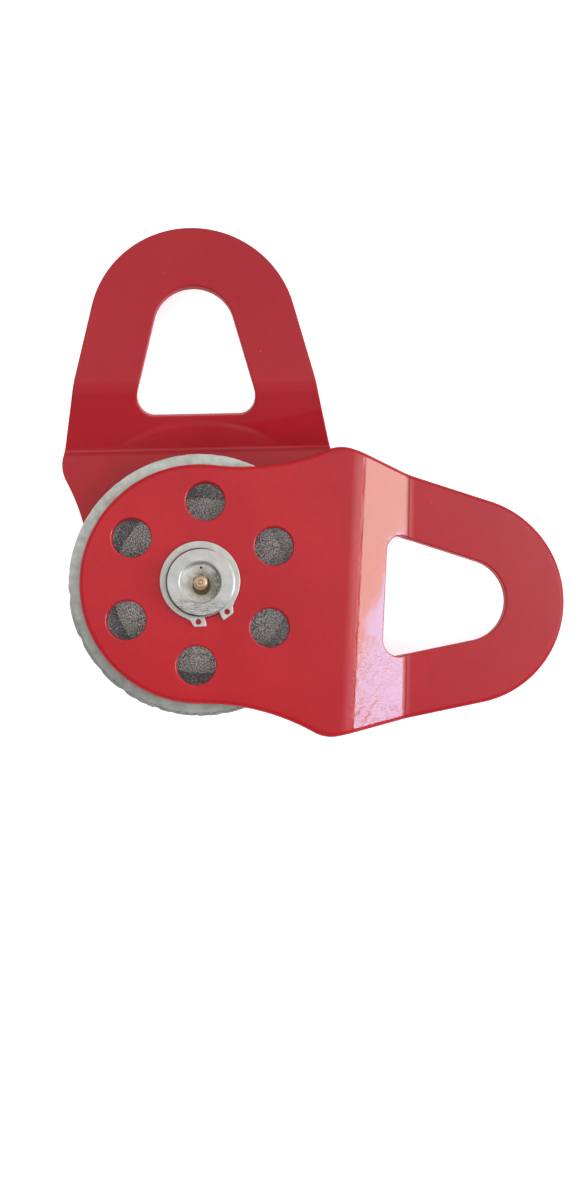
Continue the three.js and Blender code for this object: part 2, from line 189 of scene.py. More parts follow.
def sheet(outer, holes, thickness, edges, cuts=(), place=None, extra=None):
    """A flat sheet centred on z = 0, with edge radii as (outline top, hole top, bottom).

    extra(x, y) adds to the outline's top radius. The sheet is cut along lines of constant x + skew * y,
    given as (x, skew), and then moved by place. The layer "edge" marks the rounded edges."""
    bm = bmesh.new()
    edge_layer = bm.verts.layers.float.new("edge")
    steps = 5
    quarter = [math.pi / 2 * i / steps for i in range(steps + 1)]
    top_edges, bottom_edges = [], []
    for loop in [outer, *holes]:
        loop_is_hole = loop is not outer
        top_r, bottom_r = edges[1 if loop_is_hole else 0], edges[2]
        more = None if loop_is_hole else extra
        levels = [(bottom_r, -1, 1 - math.sin(a), 1 - math.cos(a)) for a in quarter]
        levels += [(top_r, 1, 1 - math.cos(a), 1 - math.sin(a)) for a in quarter]
        area = sum(a[0] * b[1] - b[0] * a[1] for a, b in zip(loop, loop[1:] + loop[:1]))
        if (area > 0) == loop_is_hole:
            loop = list(reversed(loop))
        n = len(loop)
        inward = []
        for i in range(n):
            before = Vector(loop[i]) - Vector(loop[i - 1])
            after = Vector(loop[(i + 1) % n]) - Vector(loop[i])
            side = before.normalized() + after.normalized()
            side = Vector((-side.y, side.x)).normalized()
            inward.append(side / max(0.5, side.dot(Vector((-after.y, after.x)).normalized())))
        rings = []
        for k, (radius, side, inset, drop) in enumerate(levels):
            ring = []
            for p, d in zip(loop, inward):
                rounding = radius + (more(*p) if more and side > 0 else 0)
                z = side * (thickness / 2 - rounding * drop)
                shift = inset * rounding
                v = bm.verts.new((p[0] + d.x * shift, p[1] + d.y * shift, z))
                v[edge_layer] = drop if side > 0 and loop_is_hole else float(0 < k < len(levels) - 1)
                ring.append(v)
            rings.append(ring)
        for low, high in zip(rings, rings[1:]):
            for i in range(n):
                j = (i + 1) % n
                bm.faces.new((low[i], low[j], high[j], high[i]))
        bottom_edges += [bm.edges.get((rings[0][i], rings[0][(i + 1) % n])) for i in range(n)]
        top_edges += [bm.edges.get((rings[-1][i], rings[-1][(i + 1) % n])) for i in range(n)]
    bmesh.ops.triangle_fill(bm, edges=top_edges, use_beauty=True, normal=(0, 0, 1))
    bmesh.ops.triangle_fill(bm, edges=bottom_edges, use_beauty=True, normal=(0, 0, -1))
    for x, skew in cuts:
        geometry = bm.verts[:] + bm.edges[:] + bm.faces[:]
        bmesh.ops.bisect_plane(bm, geom=geometry, dist=1e-4, plane_co=(x, 0, 0), plane_no=(1, skew, 0))
    if place:
        for v in bm.verts:
            v.co = place(v.co)
    return bm


def fillet(points, closed=False):
    """A profile of (r, z, corner radius) with its corners rounded, as (r, z) pairs."""
    out = []
    n = len(points)
    for i, (r, z, radius) in enumerate(points):
        if radius <= 0 or (not closed and i in (0, n - 1)):
            out.append((r, z))
            continue
        p = Vector((r, z))
        a = Vector(points[i - 1][:2]) - p
        b = Vector(points[(i + 1) % n][:2]) - p
        reach = min(radius / math.tan(a.angle(b) / 2), 0.45 * a.length, 0.45 * b.length)
        start, end = p + a.normalized() * reach, p + b.normalized() * reach
        for k in range(6):
            t = k / 5
            q = start * (1 - t) ** 2 + p * 2 * t * (1 - t) + end * t**2
            out.append((q.x, q.y))
    return out


def lathe(profile, steps, closed=False, shape=None, divide=None):
    """Turns a profile about Z. shape(r, z, angle) moves a point; divide is the longest step allowed."""
    if divide:
        fine = []
        pairs = zip(profile, profile[1:] + profile[:1]) if closed else zip(profile, profile[1:])
        for (r0, z0), (r1, z1) in pairs:
            parts = max(1, math.ceil(math.hypot(r1 - r0, z1 - z0) / divide))
            fine += [(r0 + (r1 - r0) * k / parts, z0 + (z1 - z0) * k / parts) for k in range(parts)]
        profile = fine if closed else fine + [profile[-1]]
    bm = bmesh.new()
    rings = []
    for r, z in profile:
        if r < 1e-6:
            rings.append([bm.verts.new((0, 0, z))])
            continue
        ring = []
        for i in range(steps):
            a = 2 * math.pi * i / steps
            rr, zz = shape(r, z, a) if shape else (r, z)
            ring.append(bm.verts.new((rr * math.cos(a), rr * math.sin(a), zz)))
        rings.append(ring)
    pairs = list(zip(rings, rings[1:]))
    if closed:
        pairs.append((rings[-1], rings[0]))
    for low, high in pairs:
        for i in range(steps):
            j = (i + 1) % steps
            if len(low) == 1:
                bm.faces.new((low[0], high[j], high[i]))
            elif len(high) == 1:
                bm.faces.new((low[i], low[j], high[0]))
            else:
                bm.faces.new((low[i], low[j], high[j], high[i]))
    return bm


def moved(bm, z):
    bmesh.ops.translate(bm, verts=bm.verts, vec=(0, 0, z))
    return bm


# ---------------------------------------------------------------- node helpers
class Nodes:
    """A small shorthand for building a node tree: a material's, or a world's."""

    def __init__(self, name, world=False):
        self.owner = (bpy.data.worlds if world else bpy.data.materials).new(name)
        self.owner.use_nodes = True
        self.tree = self.owner.node_tree
        self.shader = self.tree.nodes["Background" if world else "Principled BSDF"]
        self.where = self.add("ShaderNodeTexCoord").outputs["Generated" if world else "Object"]

    def add(self, kind, **settings):
        node = self.tree.nodes.new(kind)
        for key, value in settings.items():
            setattr(node, key, value)
        return node

    def link(self, source, target):
        """Feeds a socket with a number, a colour or another node's output."""
        if isinstance(source, (int, float)):
            target.default_value = source
        elif isinstance(source, tuple):
            target.default_value = (*source, 1.0)
        else:
            self.tree.links.new(source, target)

    def set(self, **inputs):
        for key, value in inputs.items():
            self.link(value, self.shader.inputs[key.replace("_", " ")])

    def noise(self, size_mm, detail=2.0, rough=0.5, stretch=(1, 1, 1), distortion=0.0, seed=0.0):
        mapping = self.add("ShaderNodeMapping")
        mapping.inputs["Scale"].default_value = [1000 / size_mm * s for s in stretch]
        mapping.inputs["Location"].default_value = (seed, seed * 1.7, seed * 0.6)
        self.link(self.where, mapping.inputs["Vector"])
        node = self.add("ShaderNodeTexNoise")
        self.link(mapping.outputs["Vector"], node.inputs["Vector"])
        node.inputs["Scale"].default_value = 1.0
        node.inputs["Detail"].default_value = detail
        node.inputs["Roughness"].default_value = rough
        node.inputs["Distortion"].default_value = distortion
        return node.outputs["Fac"]

    def cells(self, size_mm, seed=0.0):
        mapping = self.add("ShaderNodeMapping")
        mapping.inputs["Scale"].default_value = [1000 / size_mm] * 3
        mapping.inputs["Location"].default_value = (seed, seed * 1.3, seed * 0.4)
        self.link(self.where, mapping.inputs["Vector"])
        node = self.add("ShaderNodeTexVoronoi")
        self.link(mapping.outputs["Vector"], node.inputs["Vector"])
        node.inputs["Scale"].default_value = 1.0
        return node.outputs["Distance"]

    def ramp(self, value, *stops):
        """stops are (position, value or colour)."""
        node = self.add("ShaderNodeValToRGB")
        elements = node.color_ramp.elements
        while len(elements) < len(stops):
            elements.new(0.5)
        for element, (position, shade) in zip(elements, stops):
            element.position = position
            element.color = (*shade, 1) if isinstance(shade, tuple) else (shade, shade, shade, 1)
        self.link(value, node.inputs["Fac"])
        return node.outputs["Color"]

    def mix(self, factor, a, b, mode="MIX"):
        node = self.add("ShaderNodeMix", data_type="RGBA", blend_type=mode)
        self.link(factor, node.inputs["Factor"])
        self.link(a, node.inputs[6])
        self.link(b, node.inputs[7])
        return node.outputs[2]

    def maths(self, operation, a, b=0.0, c=0.0):
        node = self.add("ShaderNodeMath", operation=operation)
        for value, socket in zip((a, b, c), node.inputs):
            self.link(value, socket)
        return node.outputs[0]

    def step(self, value, low, high):
        """0 below low, 1 above high and smooth between."""
        node = self.add("ShaderNodeMapRange", interpolation_type="SMOOTHSTEP")
        self.link(value, node.inputs["Value"])
        node.inputs["From Min"].default_value = low
        node.inputs["From Max"].default_value = high
        return node.outputs["Result"]

    def band(self, value, rise, fall):
        """1 between rise and fall, which are (low, high) pairs, and 0 outside them."""
        return self.product(self.step(value, *rise), self.inverse(self.step(value, *fall)))

    def product(self, *factors):
        result = factors[0]
        for factor in factors[1:]:
            result = self.maths("MULTIPLY", result, factor)
        return result

    def inverse(self, value):
        return self.maths("SUBTRACT", 1.0, value)

    def off(self, value, centre):
        """How far the value is from the centre, to either side."""
        return self.maths("ABSOLUTE", self.maths("SUBTRACT", value, centre))

    def tint(self, colour, mask, strength, over):
        """Lays the colour over onto another one, where the mask is 1."""
        return self.mix(self.product(mask, strength), colour, over)

    def part(self, which):
        """One coordinate, in metres in a material. In a world it is the direction's component."""
        node = self.add("ShaderNodeSeparateXYZ")
        self.link(self.where, node.inputs[0])
        return node.outputs[which]

    def axis(self, which):
        """One coordinate in millimetres."""
        return self.maths("MULTIPLY", self.part(which), 1000.0)

    def radius(self):
        return self.distance(0, 0)

    def distance(self, x0, y0):
        """Distance in millimetres from a line parallel to the Z axis."""
        x, y = self.maths("SUBTRACT", self.axis(0), x0), self.maths("SUBTRACT", self.axis(1), y0)
        squares = self.maths("ADD", self.maths("MULTIPLY", x, x), self.maths("MULTIPLY", y, y))
        return self.maths("SQRT", squares)

    def bump(self, height, strength, distance_mm, below=None):
        node = self.add("ShaderNodeBump")
        node.inputs["Strength"].default_value = strength
        node.inputs["Distance"].default_value = distance_mm / 1000
        self.link(height, node.inputs["Height"])
        if below is not None:
            self.link(below, node.inputs["Normal"])
        return node.outputs["Normal"]

    def attribute(self, name):
        node = self.add("ShaderNodeAttribute", attribute_name=name)
        return node.outputs["Fac"]


# ---------------------------------------------------------------- materials
def runs_and_wrinkles(n, seed, x, y, slope, colour, normal):
    """The paint of the front plate's joggle. Returns its colour and normal, and how glossy it is."""
    # The paint has run at one end of the joggle, and wrinkled at the very end.
    down = n.product(y, -1.0)
    low, lowest = n.step(down, 16.0, 34.0), n.step(down, 40.0, 58.0)
    runs = n.noise(7.0, 1, 0.5, stretch=(0.5, 1.7, 1), distortion=1.2, seed=seed + 11)
    runs = n.ramp(runs, (0.41, 0.0), (0.44, 1.0), (0.47, 0.0), (0.55, 0.0), (0.58, 1.0), (0.61, 0.0))
    normal = n.bump(n.product(runs, low, slope), 0.5, 0.012, normal)
    creases = n.noise(5.5, 0, 0.5, stretch=(0.5, 1.3, 1), distortion=1.4, seed=seed + 12)
    raised = n.product(n.maths("SUBTRACT", creases, 0.5), lowest, slope)
    normal = n.bump(raised, 1.0, 0.16, normal)
    # Where it is wrinkled the coat is duller.
    dull = n.ramp(creases, (0.36, 0.0), (0.44, 1.0), (0.48, 0.2), (0.54, 0.0), (0.60, 0.8), (0.66, 0.0))
    dull = n.maths("MAXIMUM", n.product(dull, lowest, 0.5), n.product(runs, low, 0.16))
    # A fine crinkle along the first bend.
    crinkle = n.noise(1.2, 2, 0.5, stretch=(1, 0.3, 1), seed=seed + 13)
    crinkle = n.maths("SUBTRACT", crinkle, 0.5)
    bend = n.band(x, (FOLD_1 - 0.5, FOLD_1 + 1.5), (FOLD_1 + 3.0, FOLD_1 + 4.5))
    normal = n.bump(n.product(crinkle, bend), 1.0, 0.14, normal)
    # A sharp dark line of painted shade in the second fold, over a groove bump.
    line = n.off(n.maths("MULTIPLY_ADD", y, FRONT_SKEW, x), FOLD_2 + 0.6)
    line = n.ramp(line, (0.10, 1.0), (0.55, 0.0))
    colour = n.tint(colour, line, 0.65, (0.13, 0.004, 0.008))
    normal = n.bump(line, -1.0, 0.10, normal)
    # The press has broken the gloss in a thin ragged line where the first bend ends.
    seam = n.ramp(n.off(n.maths("ADD", crinkle, x), FOLD_1 + 2.9), (0.15, 1.0), (0.55, 0.0))
    strength = n.ramp(n.noise(9.0, 1, 0.5, seed=seed + 14), (0.4, 0.4), (0.6, 0.85))
    worn = n.maths("MAXIMUM", n.product(line, 0.6), n.product(seam, strength))
    return colour, normal, n.inverse(n.maths("MAXIMUM", dull, worn))


def fold_highlight_and_shade(n, colour, normal):
    """Painted light along the rear plate's first fold: a fine highlight line over a ridge bump, and a
    darker line of painted shade beside it.
    """
    across = n.product(n.axis(0), math.cos(REAR_ANGLE))
    along = n.maths("MULTIPLY_ADD", n.axis(1), math.sin(REAR_ANGLE), across)
    # Painted highlight: a lighter red line along the fold.
    line = n.ramp(n.off(along, FOLD_1 - 0.4), (0.15, 1.0), (0.6, 0.0))
    colour = n.tint(colour, line, 0.55, (0.46, 0.055, 0.058))
    # Painted shade: a darker red line beside the fold.
    beside = n.ramp(n.off(along, FOLD_1 - 1.7), (0.2, 1.0), (0.8, 0.0))
    colour = n.tint(colour, beside, 0.4, (0.20, 0.006, 0.012))
    return colour, n.bump(line, 0.5, 0.04, normal)


def red_paint(name, seed, depth, is_front):
    """Sprayed gloss paint: a red base under a clear sheen. depth scales the red."""
    n = Nodes(name)
    tone = n.noise(38, 3, 0.55, seed=seed)
    colour = n.ramp(tone, (0.3, (0.325 * depth, 0.010, 0.016)), (0.7, (0.385 * depth, 0.013, 0.020)))
    fine = n.noise(2.2, 3, 0.6, seed=seed + 3)
    colour = n.mix(n.ramp(fine, (0.35, 0.0), (0.75, 0.22)), colour, (0.24, 0.006, 0.012))
    # Painted shade: the red is darker towards the eye, where less light falls.
    colour = n.tint(colour, n.step(n.radius(), 55.0, 120.0), 0.45, (0.27 * depth, 0.012, 0.019))
    # Handling marks and thin paint along the edges.
    rubbed = n.ramp(n.noise(1.6, 4, 0.7, seed=seed + 9), (0.45, 0.0), (0.7, 1.0))
    colour = n.tint(colour, n.product(n.attribute("edge"), rubbed), 0.15, (0.40, 0.05, 0.05))
    # Sparse pale dust nibs in the paint.
    nib = n.ramp(n.cells(15, seed=seed), (0.010, 1.0), (0.018, 0.0))
    colour = n.tint(colour, nib, 0.6, (0.8, 0.5, 0.5))
    peel = n.noise(1.7, 2, 0.5, seed=seed + 5)
    normal = n.bump(n.noise(9, 2, 0.4, seed=seed + 7), 0.35, 0.12)
    gloss = 1.0
    if is_front:
        # The thick paint of the joggle has flowed out smooth.
        x, y = n.axis(0), n.axis(1)
        slope = n.band(x, (FOLD_1 - 1.0, FOLD_1 + 3.0), (FOLD_2 - 2.5, FOLD_2 + 2.5))
        calm = n.maths("MULTIPLY_ADD", slope, -0.75, 1.0)
        peel = n.product(n.maths("SUBTRACT", peel, 0.5), calm)
    normal = n.bump(peel, 0.3, 0.02, normal)
    normal = n.bump(nib, 0.5, 0.05, normal)
    if is_front:
        colour, normal, gloss = runs_and_wrinkles(n, seed, x, y, slope, colour, normal)
    else:
        colour, normal = fold_highlight_and_shade(n, colour, normal)
    n.set(Base_Color=colour, Roughness=n.ramp(fine, (0.3, 0.33), (0.8, 0.45)), Normal=normal)
    coat = n.product(n.ramp(n.attribute("edge"), (0.3, 1.0), (1.0, 0.12)), gloss)
    n.set(Coat_Weight=coat, Coat_Roughness=0.05, Coat_Normal=normal, Specular_IOR_Level=0.05)
    return n.owner


def cast_iron():
    """A rough sand-cast web inside a turned rim."""
    n = Nodes("sheave_iron")
    r, x, y = n.radius(), n.axis(0), n.axis(1)
    # A ramp runs from 0 to 1, so it is given radii as shares of this one.
    full = 60.0
    share = n.maths("DIVIDE", r, full)
    turned_face = n.ramp(share, (0.745, 0.0), (0.765, 1.0))
    wall = n.ramp(share, (0.656, 0.0), (0.664, 1.0))
    speck = n.noise(0.55, 2, 0.8)
    rough_colour = n.ramp(
        speck, (0.38, (0.02, 0.018, 0.018)), (0.48, (0.25, 0.24, 0.23)), (0.60, (0.86, 0.84, 0.82))
    )
    blotch = n.ramp(n.noise(6, 3, 0.6, seed=4), (0.35, 0.0), (0.7, 0.30))
    rough_colour = n.mix(blotch, rough_colour, (0.42, 0.40, 0.37))
    # Painted shade: the foot of the rim, in the shadow of the plates, is darker, and more so on one
    # side.
    shaded_wall = n.ramp(
        speck, (0.38, (0.05, 0.05, 0.055)), (0.56, (0.21, 0.20, 0.22)), (0.68, (0.80, 0.80, 0.78))
    )
    shaded_wall_colour = n.mix(n.step(x, -5.0, 28.0), shaded_wall, n.mix(0.65, shaded_wall, rough_colour))
    rough_colour = n.mix(wall, rough_colour, shaded_wall_colour)
    patches = n.noise(5, 5, 0.65, seed=2)
    smooth_colour = n.ramp(patches, (0.3, (0.25, 0.26, 0.24)), (0.7, (0.40, 0.41, 0.38)))
    # Painted light: one side of the rim is brighter than the other.
    shade = n.ramp(n.step(y, -52.0, 30.0), (0.0, 1.02), (1.0, 1.62))
    smooth_colour = n.mix(1.0, smooth_colour, shade, "MULTIPLY")
    pit = n.ramp(n.cells(1.5, seed=8), (0.05, 1.0), (0.13, 0.0))
    smooth_colour = n.tint(smooth_colour, pit, 0.55, (0.11, 0.11, 0.10))
    # A dark, broken line just inside the rim's corner, mostly on the chipped side.
    ragged = n.maths("ADD", r, n.product(n.noise(2.6, 4, 0.7, seed=6), 2.6))
    worn = n.ramp(n.maths("DIVIDE", ragged, full), (0.966, 0.0), (0.972, 1.0), (0.980, 0.35))
    edge = n.product(worn, n.ramp(n.noise(1.1, 4, 0.7, seed=16), (0.35, 0.35), (0.6, 1.0)))
    chipped_side = n.ramp(n.step(n.product(y, -1.0), 0.0, 34.0), (0.0, 0.10), (1.0, 0.8))
    smooth_colour = n.mix(n.product(edge, chipped_side), smooth_colour, (0.075, 0.07, 0.065))
    n.set(Base_Color=n.mix(turned_face, rough_colour, smooth_colour))
    n.set(Metallic=n.ramp(turned_face, (0.0, 0.0), (1.0, 0.45)))
    n.set(Roughness=n.ramp(turned_face, (0.0, 0.62), (1.0, 0.48)))
    grains, tool_marks = n.inverse(n.cells(0.5)), n.product(n.noise(1.2, 4, 0.6, seed=3), 0.22)
    normal = n.bump(n.mix(turned_face, grains, tool_marks), 0.85, 0.30)
    n.set(Normal=n.bump(n.noise(4.5, 3, 0.5, seed=9), 0.5, 0.35, normal))
    return n.owner


def pin_face(n, r, colour):
    """The end of the pin and the recess in it. Returns its colour and how metallic it is."""
    x, y = n.axis(0), n.axis(1)
    depth = n.maths("SUBTRACT", PIN_TOP, n.axis(2))
    recess = n.step(depth, 0.8, 4.0)
    # The tool has dragged on one side of the face.
    streak = n.noise(1.3, 5, 0.85, stretch=(0.45, 2.6, 1), distortion=0.8, seed=21)
    streak = n.ramp(streak, (0.47, 0.0), (0.58, 1.0))
    drag = n.product(streak, n.step(n.product(y, -1.0), 4.0, 11.0), n.inverse(recess))
    colour = n.tint(colour, drag, 0.88, (0.12, 0.12, 0.125))
    # Painted shadow: a dark line along the outer edge, under the chamfer, mostly on one side.
    edge_shadow = n.product(n.step(r, 14.15, 14.4), n.step(n.product(x, -1.0), -9.0, 3.0))
    colour = n.tint(colour, edge_shadow, 0.85, (0.05, 0.05, 0.05))
    # The recess is dull and pale, with a mottled painted shade on one side.
    pale = n.noise(2.2, 4, 0.65, seed=14)
    pale = n.ramp(pale, (0.35, (0.72, 0.71, 0.67)), (0.65, (1.0, 0.99, 0.95)))
    colour = n.mix(recess, colour, pale)
    # Painted shade, mottled, on one side of the recess.
    shade_mottle = n.noise(1.1, 4, 0.8, stretch=(1, 0.5, 1), seed=31)
    shade_mottle = n.ramp(shade_mottle, (0.42, 0.25), (0.56, 1.0))
    shaded_side = n.product(shade_mottle, n.step(x, 3.2, 6.4), n.step(depth, 3.0, 5.0))
    colour = n.tint(colour, shaded_side, 0.85, (0.13, 0.12, 0.11))
    # Painted shadow: a dark arc inside the recess's wall, on one side.
    corner = n.maths("MULTIPLY_ADD", y, 0.85, n.product(x, 0.5))
    shade = n.product(recess, n.step(r, RECESS_R - 1.1, RECESS_R - 0.1), n.step(corner, 0.5, 5.5))
    colour = n.tint(colour, shade, 0.65, (0.10, 0.095, 0.09))
    # Old grease lies round the nipple, thin further out.
    near = n.inverse(n.step(n.distance(0.6, -0.6), 4.0, 6.8))
    wet = n.ramp(n.noise(2.4, 4, 0.6, seed=12), (0.3, 0.2), (0.6, 1.0))
    colour = n.tint(colour, n.product(near, recess, wet), 0.7, (0.46, 0.36, 0.20))
    # Painted shadow of the nipple: a dark brown disc round its foot, offset to one side.
    nipple_shadow = n.inverse(n.step(n.distance(0.3, -1.0), 3.7, 4.5))
    colour = n.tint(colour, n.product(nipple_shadow, recess), 0.9, (0.12, 0.075, 0.03))
    # One small dark pit.
    pit = n.inverse(n.step(n.distance(-0.35, 6.9), 0.35, 0.67))
    colour = n.mix(n.product(pit, recess), colour, (0.01, 0.01, 0.01))
    return colour, n.ramp(recess, (0.0, 0.75), (1.0, 0.25))


def turned_steel(name, base, roughness, pitch_mm, is_pin=False, marks=0.5):
    """Steel faced in a lathe: fine rings round the Z axis, scuffs and dull plating."""
    n = Nodes(name)
    r = n.radius()
    blotch = n.noise(4.0, 4, 0.6)
    light = tuple(c * 1.12 for c in base)
    dark = tuple(c * 0.78 for c in base)
    colour = n.mix(n.ramp(blotch, (0.3, 0.3), (0.7, 0.75)), dark, light)
    scuff = n.noise(1.1, 5, 0.8, stretch=(1, 0.35, 1), distortion=1.5, seed=5)
    colour = n.tint(colour, n.ramp(scuff, (0.60, 0.0), (0.72, 1.0)), 0.35, (0.30, 0.30, 0.29))
    metal = 0.75
    if is_pin:
        colour, metal = pin_face(n, r, colour)
    rings = n.add("ShaderNodeTexNoise", noise_dimensions="1D")
    n.link(n.maths("DIVIDE", r, pitch_mm), rings.inputs["W"])
    rings.inputs["Scale"].default_value = 1.0
    rings.inputs["Detail"].default_value = 2.0
    normal = n.bump(rings.outputs["Fac"], marks, 0.03)
    normal = n.bump(n.noise(0.9, 4, 0.6, seed=7), 0.25, 0.03, normal)
    n.set(Base_Color=colour, Metallic=metal, Normal=normal)
    n.set(Roughness=n.ramp(blotch, (0.3, roughness - 0.06), (0.7, roughness + 0.08)))
    return n.owner


def brass(name, base, grease, foot=None):
    """Brass or bronze under a brown film. Below the height foot it is dark and dull: dried grease,
    darkened further as painted shade deep in the recess.
    """
    n = Nodes(name)
    tone = n.noise(1.5, 4, 0.6)
    colour = n.ramp(tone, (0.3, tuple(c * 0.75 for c in base)), (0.7, base))
    film = n.ramp(n.noise(2.4, 3, 0.5, seed=3), (0.4, 0.0), (0.7, 1.0))
    colour = n.tint(colour, film, grease, (0.16, 0.085, 0.03))
    metal, rough = 0.75, n.ramp(tone, (0.3, 0.40), (0.7, 0.55))
    if foot:
        # Dried grease below the foot, its dark tint partly painted shade deep in the recess.
        low = n.inverse(n.step(n.axis(2), foot, foot + 0.8))
        colour = n.tint(colour, low, 0.95, (0.085, 0.048, 0.020))
        metal = n.ramp(low, (0.0, 0.75), (1.0, 0.1))
        rough = n.mix(low, rough, (0.75, 0.75, 0.75))
    normal = n.bump(n.noise(0.5, 3, 0.6, seed=5), 0.25, 0.02)
    n.set(Base_Color=colour, Metallic=metal, Roughness=rough, Normal=normal)
    return n.owner


# The rear plate's red is scaled a little darker than the front's: painted shade, as it lies under the
# front plate.
red_front = red_paint("red_paint_front", 1.0, 1.14, True)
red_rear = red_paint("red_paint_rear", 23.0, 1.07, False)
iron = cast_iron()
pin_steel = turned_steel("pin_steel", (0.69, 0.67, 0.635), 0.40, 0.35, is_pin=True)
clip_steel = turned_steel("circlip_steel", (0.70, 0.675, 0.62), 0.42, 0.9, marks=0.2)
washer_steel = turned_steel("washer_steel", (0.36, 0.35, 0.33), 0.45, 0.5)
bronze = brass("bush_bronze", (0.46, 0.27, 0.12), 0.5)
nipple_brass = brass("nipple_brass", (0.80, 0.56, 0.35), 0.35, foot=45.4)
ball_steel = turned_steel("ball_steel", (0.75, 0.70, 0.62), 0.16, 0.2, marks=0.05)
spring_wire = turned_steel("spring_wire", (0.42, 0.42, 0.42), 0.35, 0.2, marks=0.1)


# ---------------------------------------------------------------- side plates
def folds(skew, v):
    """At v from the centreline: the slope, then where the first and second bends start and end."""
    second = FOLD_2 - skew * v
    slope = math.atan2(DISC_MID - EYE_MID, second - FOLD_1)
    reach, width = BEND_R * math.tan(slope / 2), BEND_R * math.sin(slope)
    return slope, FOLD_1 - reach, FOLD_1 - reach + width, second + reach - width, second + reach


def bent(co, skew):
    """Takes a point of the flat sheet to the joggled one, above the sheave's middle plane."""
    u, v, w = co
    slope, start_1, end_1, start_2, end_2 = folds(skew, v)
    if u < start_1:
        tilt, z = 0.0, DISC_MID
    elif u < end_1:
        tilt = math.asin((u - start_1) / BEND_R)
        z = DISC_MID - BEND_R * (1 - math.cos(tilt))
    elif u < start_2:
        tilt, z = slope, DISC_MID - (u - FOLD_1) * math.tan(slope)
    elif u < end_2:
        tilt = math.asin((end_2 - u) / BEND_R)
        z = EYE_MID + BEND_R * (1 - math.cos(tilt))
    else:
        tilt, z = 0.0, EYE_MID
    # A pressed plate is never quite flat.
    wave = 0.10 * noise.noise(Vector((u / 38, v / 38, 0.7)))
    return Vector((u + w * math.sin(tilt), v, z + wave + w * math.cos(tilt)))


def fold_lines(skew):
    """Where the sheet is cut before bending, as (x, skew): 14 lines in each bend, and some elsewhere."""
    slope, start_1, end_1, start_2, end_2 = folds(skew, 0)
    lines = [(x, 0) for x in (start_1, end_1)] + [(x, skew) for x in (start_2, end_2)]
    for k in range(1, 13):
        reach = BEND_R * math.sin(slope * k / 13)
        lines += [(start_1 + reach, 0), (end_2 - reach, skew)]
    between = [20 * k for k in range(-2, 4)] + [100 + 12 * k for k in range(6)] + [74, 78, 82, 86]
    return lines + [(x, 0) for x in between]


def roll_over(u, v):
    """The sheared edge is rounded over more at one end of the joggle."""
    near = max(0.0, 1 - abs(u - 90) / 20) * min(1.0, max(0.0, (-v - 30) / 20))
    return near * near * (3 - 2 * near) * (1.3 + 0.5 * noise.noise(Vector((u / 4.0, v / 4.0, 4.0))))


def plate(skew=0.0, extra=None):
    ring_r, hole_r = 36.0, 8.5
    holes = [eye_outline(), circle(0, 0, PIN_R + 0.15, 96)]
    for k in range(6):
        a = (k + 0.5) * math.pi / 3
        holes.append(circle(ring_r * math.cos(a), ring_r * math.sin(a), hole_r, 56))
    edges, cuts = (2.4, 0.8, 0.7), fold_lines(skew)
    return sheet(plate_outline(), holes, PLATE_T, edges, cuts, lambda co: bent(co, skew), extra)


front = moved(plate(FRONT_SKEW, roll_over), MID_Z)
finished("front_side_plate_painted", front, "front_side_plate", "front_plate", red_front)

rear = plate()
bmesh.ops.transform(rear, matrix=Matrix.Rotation(math.pi, 4, "X"), verts=rear.verts)
bmesh.ops.transform(rear, matrix=Matrix.Rotation(REAR_ANGLE, 4, "Z"), verts=rear.verts)
moved(rear, MID_Z)
finished("rear_side_plate_painted", rear, "rear_side_plate", "rear_plate", red_rear)


# ---------------------------------------------------------------- sheave, bush, washers
def sheave_section():
    """Hub, web, rim and rope groove, as rounded (r, z) about the middle plane."""
    half, r = SHEAVE_HALF, SHEAVE_R
    upper = [
        (18.5, half, 0.5),
        (24.6, half, 0.9),
        (26.2, 5.6, 1.6),
        (39.5, 5.2, 1.6),
        (45.6, half, 0.5),
        (r - 0.2, half, 1.1),
        (r, 9.2, 0.7),
        (50.5, 6.0, 0.0),
    ]
    groove = [
        (53 + 6.5 * math.cos(a), 6.5 * math.sin(a), 0.0)
        for a in (math.radians(d) for d in range(118, 243, 6))
    ]
    lower = [(x, -z, f) for x, z, f in reversed(upper)]
    return fillet(upper + groove + lower, closed=True)


def cast_shape(r, z, a):
    """Foundry unevenness: a lumpy web, and outer corners that are chipped, mostly on one side."""
    web_in, web_out = 26, 45.5
    chips_from, chips_towards = 56.6, math.radians(227)
    p = Vector((r * math.cos(a), r * math.sin(a), z))
    if web_in < r < web_out:
        inside = min(1, (r - web_in) / 2, (web_out - r) / 2)
        z += math.copysign(0.16, z) * inside * noise.noise(p / 2.4)
    corner = max(0.0, (r - chips_from) / 1.9)
    if corner > 0:
        away = abs((a - chips_towards + math.pi) % (2 * math.pi) - math.pi)
        rough = 0.14 + 0.86 * max(0.0, math.cos(min(away * 1.5, math.pi / 2)))
        flat = Vector((p.x, p.y, math.copysign(40, z)))
        chip = max(0.0, noise.noise(flat / 3.4) + 0.35 * noise.noise(flat / 1.7) + 0.05)
        r -= corner * rough * (1.5 * chip - 0.2 * noise.noise(p / 9.0))
        z -= math.copysign(1, z) * corner * rough * (0.9 * chip + 0.15 * abs(noise.noise(p / 1.6)))
    return r, z


finished(
    "sheave_cast",
    moved(lathe(sheave_section(), 300, closed=True, shape=cast_shape, divide=1.2), MID_Z),
    "sheave",
    "sheave",
    iron,
    angle=50,
    weighted=False,
)

